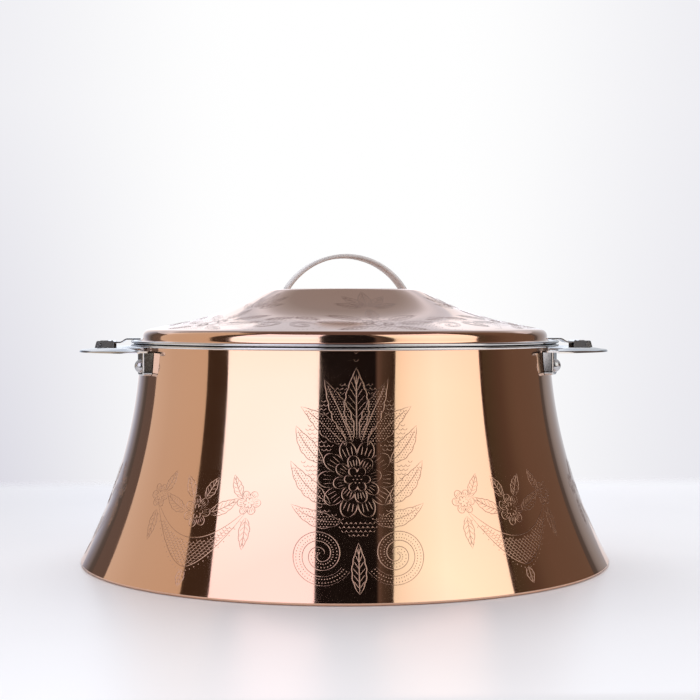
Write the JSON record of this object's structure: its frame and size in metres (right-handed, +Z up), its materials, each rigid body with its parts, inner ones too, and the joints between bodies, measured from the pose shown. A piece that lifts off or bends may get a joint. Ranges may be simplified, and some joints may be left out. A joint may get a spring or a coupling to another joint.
{
  "type": "insulated serving pot",
  "caption": "Flared double-walled serving pot with a copper-coloured shell, a stepped insulated lid with a strap handle, and side handles whose flip latches hold the lid down.",
  "frame": {"origin": "on the floor under the pot's axis, at the middle of the hemmed foot", "axes": "+Z up along the pot's axis; the side handles lie along X; -Y is the front of the picture"},
  "size_m": [0.403, 0.3999, 0.2319],
  "materials": {
    "copper_shell": "polished",
    "polished_steel": "polished",
    "satin_steel": "satin",
    "rivet_steel": "satin",
    "foam": "matte"
  },
  "bodies": {
    "pot": {"outer_shell": "copper_shell", "inner_pot": "polished_steel", "base_plate": "polished_steel", "pot_insulation": "foam", "left_handle": "satin_steel", "left_latch_bracket": "satin_steel", "left_handle_rivets": "rivet_steel", "left_rivet_washers": "rivet_steel", "left_bracket_rivets": "rivet_steel", "left_latch_pin": "rivet_steel", "right_handle": "satin_steel", "right_latch_bracket": "satin_steel", "right_handle_rivets": "rivet_steel", "right_rivet_washers": "rivet_steel", "right_bracket_rivets": "rivet_steel", "right_latch_pin": "rivet_steel"},
    "lid": {"lid_cover": "copper_shell", "lid_pan": "polished_steel", "lid_insulation": "foam", "lid_handle": "satin_steel", "lid_handle_rivets": "rivet_steel", "lid_rivet_washers": "rivet_steel"},
    "left_latch": {"left_latch_lever": "satin_steel"},
    "right_latch": {"right_latch_lever": "satin_steel"}
  },
  "joints": [
    {"name": "lid_lift", "type": "slide", "parent": "pot", "child": "lid", "axis": [0, 0, 1], "range_m": [0, 0.15]},
    {"name": "right_latch_flip", "type": "hinge", "parent": "pot", "child": "right_latch", "pos_m": [0.1862, 0, 0.163], "axis": [0, 1, 0], "range_deg": [0, 115]},
    {"name": "left_latch_flip", "type": "hinge", "parent": "pot", "child": "left_latch", "pos_m": [-0.1862, 0, 0.163], "axis": [0, -1, 0], "range_deg": [0, 115]}
  ]
}
